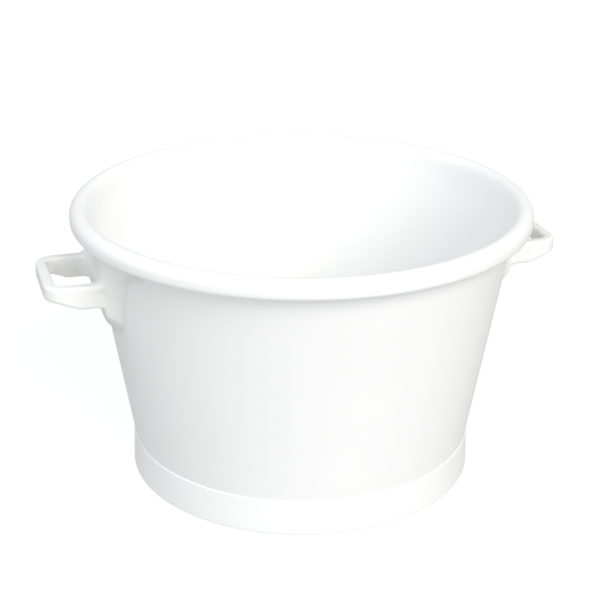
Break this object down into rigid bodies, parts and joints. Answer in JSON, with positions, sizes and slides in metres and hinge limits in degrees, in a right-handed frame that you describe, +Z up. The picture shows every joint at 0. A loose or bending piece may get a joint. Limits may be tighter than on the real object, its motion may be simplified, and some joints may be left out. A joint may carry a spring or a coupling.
{
  "type": "florist bucket",
  "caption": "Wide conical plastic flower bucket with a rolled rim, a low foot skirt and a rigid loop handle on each side, free-standing and open at the top.",
  "frame": {"origin": "on the ground under the centre of the round base", "axes": "+Z up through the open mouth, +X towards one handle and -X towards the other"},
  "size_m": [0.4586, 0.4, 0.246],
  "materials": {
    "tub_plastic": "satin",
    "handle_plastic": "satin"
  },
  "bodies": {
    "root": {"tub_wall": "tub_plastic", "tub_floor": "tub_plastic", "foot_skirt": "tub_plastic", "rolled_rim": "tub_plastic", "right_handle_pad": "handle_plastic", "right_handle": "handle_plastic", "left_handle_pad": "handle_plastic", "left_handle": "handle_plastic"}
  },
  "joints": []
}
